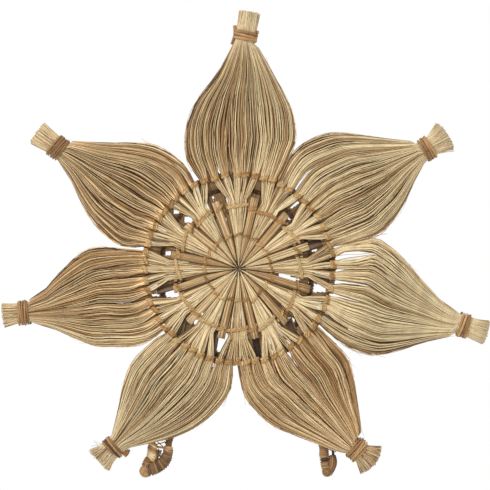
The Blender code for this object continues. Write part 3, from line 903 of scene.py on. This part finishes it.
# the feet's centre lines as (x, z, radius) in mm about the hub
feet = Values(
    foot_left=[(-63, -79.4, 4.6), (-75, -121, 4.6), (-89.5, -178, 4.8), (-91.5, -193, 5.2),
        (-96.5, -204.5, 5.6), (-93, -209.5, 5.6), (-84, -206.5, 5.2), (-77, -201, 4.8), (-73, -190, 4.3),
        (-70.5, -174, 4), (-50, -138, 4), (-34, -113.5, 4), (-29.2, -99, 4)],
    foot_right=[(21.9, -99, 4.4), (28, -115, 4.4), (50, -136, 4.4), (83, -176, 4.4), (87, -194, 4.6),
        (89.5, -206, 4.6), (92, -210, 4.4), (96, -205.5, 4), (97.5, -198, 4), (97, -186, 1.4),
        (92, -168, 2.6), (73, -122, 4), (64, -82.4, 4)])

# stretches of each foot between two shares of its route: the step between turns, or 0 for stems along
# the rod, their radius as a share of the rod's, how far they lie aside, their slant and their shades, and
# a last word where they are of straw
footZones = Values(
    foot_left=[
        (0, 0.385, 3.2, 0.9, (0, 0), 1, (0.15, 0.45)),
        (0.385, 0.458, 2.2, 1.1, (1.9, 0), 2, (0.4, 0.95), "straw"),
        (0.452, 0.487, 2, 0.98, (1, 0), 0.5, (0.4, 0.6)),
        (0.507, 0.602, 2.1, 1.33, (0.5, 2.4), 0.5, (0.15, 0.6)),
        (0.6, 0.63, 0, 1.12, (0.3, 0), 0, (0.35, 0.65)),
        (0.622, 0.648, 2, 1.14, (0.3, 0), 0.8, (0.88, 1)),
        (0.648, 1, 2.6, 1, (0, 0), 0.8, (0.2, 0.5))],
    foot_right=[
        (0, 0.37, 3.2, 0.9, (0, 0), 1, (0.15, 0.45)),
        (0.37, 0.388, 1.8, 1.06, (0.4, 0), 0.2, (0.4, 0.5)),
        (0.385, 0.442, 1.9, 1.15, (1.3, 0), 0.2, (0.5, 0.7)),
        (0.445, 0.452, 1.3, 1.18, (1.4, 0), 0.2, (0.15, 0.25)),
        (0.456, 0.515, 1.8, 1.14, (1, 0), 0.4, (0.45, 0.72)),
        (0.5, 0.572, 0, 1.2, (-0.6, 0), 0, (0.25, 0.7)),
        (0.64, 1, 3.2, 0.95, (0, 0), 1, (0.15, 0.45))],
)
# lumps at the lower ends as x, z, radius, depth and shade, and the rings that each is wound of
knobs = Values(
    foot_left=[(-96, -209, 6.8, 6.4, 0.75), (-93.6, -203.6, 5, 6.6, 0.4)],
    foot_right=[(92, -202, 5, 4.6, 0.55), (91.2, -209.6, 5.6, 6.8, 0.62)],
)
knobRings = (1, 0.8, 0.58, 0.34, 0.12)
# strings across the loops as x, z, x, z, radius and shade
strings = Values(
    foot_left=[(-87.5, -183.6, -73, -185.2, 1.2, 0.7), (-86, -181.5, -76, -178.8, 0.55, 0.15),
        (-83, -186, -80.5, -196, 0.5, 0.2), (-77.5, -186, -78.5, -195, 0.5, 0.15),
        (-84, -178.6, -78, -184, 0.5, 0.3), (-84, -187, -86, -200, 2, 0.4),
        (-81.4, -196, -83.8, -204, 2.2, 0.3), (-80.4, -187.5, -83.4, -194, 1.3, 0.5),
        (-79.4, -194.6, -81.4, -199, 1.2, 0.15)],
    foot_right=[(97.6, -186.5, 97.4, -194, 0.7, 0.1), (95.4, -186, 98.6, -195, 0.5, 0.15),
        (94, -187, 96.8, -185, 1.3, 0.3), (96, -189.5, 100.5, -188.6, 0.6, 0.3)],
)


def stringStrands(rows, depths, sag=(0, 0)):
    # a string for each row, its middle moved by sag
    strands = []
    for x0, z0, x1, z1, radius, shade in rows:
        flats = (x0, z0), ((x0 + x1) / 2 + sag[0], (z0 + z1) / 2 + sag[1]), (x1, z1)
        strands.append(Strand([place(flat, depth) for flat, depth in zip(flats, depths)], radius, shade))
    return strands


def buildFoot(name, foot, rng):
    line = evenLine([Vector(stop) for stop in foot], 200)
    length = sum((b[1].xy - a[1].xy).length for a, b in zip(line, line[1:]))
    depth = lambda radius: max(4.9, radius + 0.4)
    core = [steps(line, i / 60) for i in range(61)]
    strands = [Strand([place(at.xy, depth(at.z)) for at in core], [at.z * 0.68 for at in core], 0.1)]
    straw = []
    for first, last, pitch, wide, shift, slant, shades, *isStraw in footZones[name]:
        for a in [pi * (k + 0.5) / 11 for k in range(0 if pitch else 11)]:
            points = []
            for share in [mix(first, last, i / 8) for i in range(9)]:
                at = steps(line, share)
                ahead = (steps(line, share + 0.01) - at).xy.normalized()
                out = at.z * wide - 0.8
                flat = at.xy + Vector(shift) + Vector((ahead.y, -ahead.x)) * cos(a) * out
                points.append(place(flat, depth(at.z * wide) + sin(a) * out))
            strands.append(Strand(points, 0.8, rng.uniform(*shades)))
        centres = []
        for i in range(int((last - first) * length / pitch) if pitch else 0):
            share = first + (i + 0.5) * pitch / length
            at = steps(line, share)
            ahead = steps(line, min(share + 0.01, 1)) - steps(line, max(share - 0.01, 0))
            ahead = Vector((ahead.x, 0, ahead.y)).normalized()
            centre = place(at.xy + Vector(shift), depth(at.z * wide))
            thick = pitch * 0.72
            centres.append((centre, ahead, at.z * wide - thick, rng.uniform(*shades), thick))
        turns = wrapLoops(centres, rng, 10, slant)
        (straw if isStraw else strands).extend(turns)
    if straw:
        addStrands(f"{name}Straw", straw, petalStraw, "straw")
    for x, z, radius, deep, shade in knobs[name]:
        for size in knobRings:
            flats = [Vector((x, z)) + polar(size * (radius - 1.1), 30 * i) for i in range(12)]
            points = [place(flat, deep + 4 * sqrt(1 - 0.9 * size * size)) for flat in flats]
            strands.append(Strand(points, 1.2, shade + rng.gauss(0, 0.15), closed=True))
        ends = [place((x, z), depth) for depth in (1.2, 3, deep + 1)]
        strands.append(Strand(ends, [0.6 * radius, radius, 0.8 * radius], shade))
    strands += stringStrands(strings[name], (6.5, 7, 6.5), (0.4, -0.3))
    addStrands(f"{name}Bark", strands, barkStrip, "bark_wrap", name)


buildAll(buildFoot, feet, 40)
print("hoop and feet ready")


# each tie's turns, the strip's width, half the stretch that it covers, the share of a turn where it
# starts, its shade, and how far that strays
tieValues = Values(
    top=(3.6, 2.9, 5.4, 0.47, 0.46, 0.1), upper_right=(4.2, 2.3, 5.6, 0.6, 0.34, 0.12),
    right=(4.7, 2.1, 5.4, 0.5, 0.5, 0.18), lower_right=(5.7, 1.75, 5.6, 0.65, 0.56, 0.18),
    lower_left=(3.6, 2.1, 4.1, 0.7, 0.3, 0.12), left=(5.2, 1.9, 5.6, 0.45, 0.42, 0.16),
    upper_left=(5.6, 1.8, 5.9, 0.9, 0.2, 0.1))
tieRadius, tieThick = 11.7, 1.7
# loose ends of the ties as x, z, x, z, radius and shade
tieEnds = Values(
    top=[
        (-4, 241, -7.2, 231, 1.5, 0.3), (-3.6, 243, -4.2, 250, 2, 0.42), (-1.4, 245, -1, 250.4, 1.6, 0.55)],
    lower_left=[
        (-124, -186, -111.8, -187.4, 1.2, 0.4), (-124, -187, -112.6, -189.6, 1.3, 0.5),
        (-123, -188, -113.8, -191.6, 1.3, 0.3), (-122, -188, -115.6, -193.4, 1.3, 0.42),
        (-140, -180, -152, -183, 0.17, 0.3), (-143.4, -184, -149, -177, 0.17, 0.2),
        (-138, -181.4, -147, -178.2, 0.15, 0.3)])


def stripProfile(width, thick):
    # a flat strip with rounded corners, its width along the neck
    curve = bpy.data.curves.new("stripProfile", "CURVE")
    curve.dimensions = "2D"
    spline = curve.splines.new("POLY")
    corners = [
        (-0.5, -0.3), (-0.5, 0.3), (-0.3, 0.5), (0.3, 0.5),
        (0.5, 0.3), (0.5, -0.3), (0.3, -0.5), (-0.3, -0.5)]
    spline.points.add(len(corners) - 1)
    for spot, (x, y) in zip(spline.points, corners):
        spot.co = (x * thick, y * width, 0, 1)
    spline.use_cyclic_u = True
    return addObject("stripProfile", curve)


def buildTie(name, values, rng):
    turns, width, half, phase, tone, grain = values
    tie, _, along, aside = neckFrame(petals[name])
    # the strip's sizes are in metres, so it takes a radius of 1 along the turns
    profile = stripProfile(width * mm, tieThick * mm)
    count = int(turns * 20)
    strands = []
    for first in range(0, count, 20):
        points = []
        lift = rng.uniform(-0.2, 0.5)
        for i in range(first, min(first + 21, count + 1)):
            turn = tau * (turns * i / count + phase)
            out = (tieRadius + lift + 0.3 * sin(turn * 0.53) + rng.uniform(-0.12, 0.12)) * mm
            rise = (mix(-half, half, i / count) + 0.45 * sin(turn * 1.3)) * mm
            points.append(Vector((out * cos(turn), out * sin(turn), rise)))
        strands.append(Strand(points, 1 / mm, tone + rng.gauss(0, grain)))
    mesh = strandMesh(f"tieWrap_{name}", strands, 0, profile)
    bpy.data.objects.remove(profile)
    side, axis = Vector((aside.x, 0, aside.y)), Vector((along.x, 0, along.y))
    turned = Matrix((side, Vector((0, -1, 0)), axis)).transposed().to_4x4()
    mesh.transform(Matrix.Translation(place(tie, petalDepths.middle[1])) @ turned)
    if name in tieEnds:
        ends = stringStrands(tieEnds[name], (17, 17, 16))
        addStrands(f"tieEnds_{name}", ends, rattanPeel, "rattan_peel")
    addPiece(f"tieWrap_{name}", mesh, rattanPeel, "rattan_peel", f"tie_{name}")


buildAll(buildTie, tieValues, 400)
print("ties ready")


room = Values(
    corners=[(-1, -1), (1, -1), (1, 1), (-1, 1)], floor=-0.42, floorHalf=1.2, floorShade=0.9,
    distance=3.2, front=0.0145, aim=(0.0065, 0, -0.0579), frame=0.5047, sensor=36,
    lamp=(-0.9, -1.3, 1.1), lampSize=0.5, lampPower=22)
aim = Vector(room.aim)
floorMesh = bpy.data.meshes.new("floor")
corners = [(x * room.floorHalf, y * room.floorHalf, room.floor) for x, y in room.corners]
floorMesh.from_pydata(corners, [], [(0, 1, 2, 3)])
floorPaint = bpy.data.materials.new("floorPaint")
floorPaint.use_nodes = True
paint = floorPaint.node_tree.nodes["Principled BSDF"].inputs
paint["Base Color"].default_value = (*[room.floorShade] * 3, 1)
paint["Roughness"].default_value = 0.8
floorMesh.materials.append(floorPaint)
floor = addObject("floor", floorMesh)

world = bpy.data.worlds.new("studio")
world.use_nodes = True
world.node_tree.nodes["Background"].inputs["Color"].default_value = (1, 1, 1, 1)
bpy.context.scene.world = world
bpy.context.scene.view_settings.view_transform = "Standard"

lamp = bpy.data.lights.new("keyLight", "AREA")
lamp.size = room.lampSize
lamp.energy = room.lampPower
light = addObject("keyLight", lamp)
light.location = room.lamp
light.rotation_euler = (aim - light.location).to_track_quat("-Z", "Y").to_euler()

camera = bpy.data.cameras.new("camera")
camera.sensor_width = room.sensor
camera.lens = room.sensor * room.distance / room.frame
view = addObject("camera", camera)
view.location = aim - Vector((0, room.distance + room.front, 0))
view.rotation_euler = (radians(90), 0, 0)
bpy.context.scene.camera = view
print("room ready")
